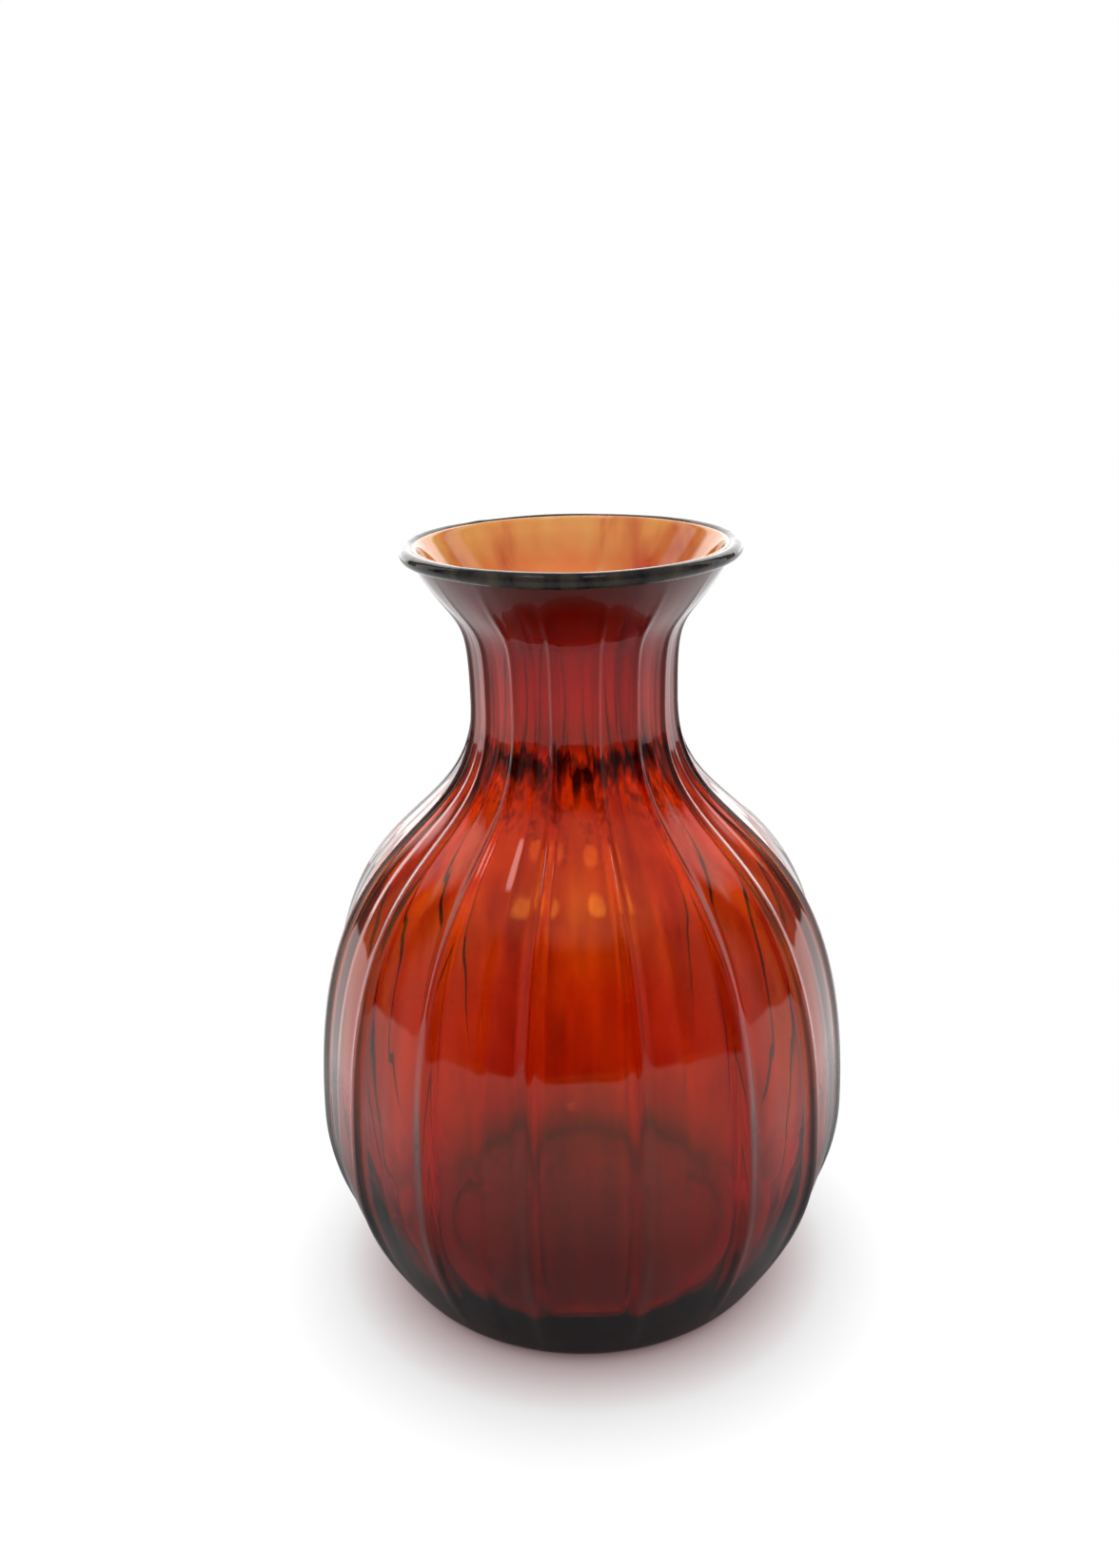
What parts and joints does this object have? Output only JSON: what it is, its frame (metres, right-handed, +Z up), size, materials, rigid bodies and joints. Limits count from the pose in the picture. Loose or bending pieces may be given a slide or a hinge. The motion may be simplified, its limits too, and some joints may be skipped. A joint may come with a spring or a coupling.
{
  "type": "glass vase",
  "caption": "Ribbed hand blown glass vase with a bulbous body, narrow neck, flared mouth, ruby casing over an amber lining and a black lip wrap.",
  "frame": {"origin": "centre of the ground foot, on the surface the vase stands on", "axes": "+Z up along the axis of the vase; -Y faces the viewer, square to the middle of a flute"},
  "size_m": [0.1686, 0.1686, 0.2485],
  "materials": {
    "ruby_glass": "fire-polished, glossy, see-through",
    "amber_glass": "fire-polished, glossy, see-through",
    "black_glass": "fire-polished, glossy, opaque"
  },
  "bodies": {
    "root": {"outer_casing": "ruby_glass", "inner_lining": "amber_glass", "lip_wrap": "black_glass"}
  },
  "joints": []
}
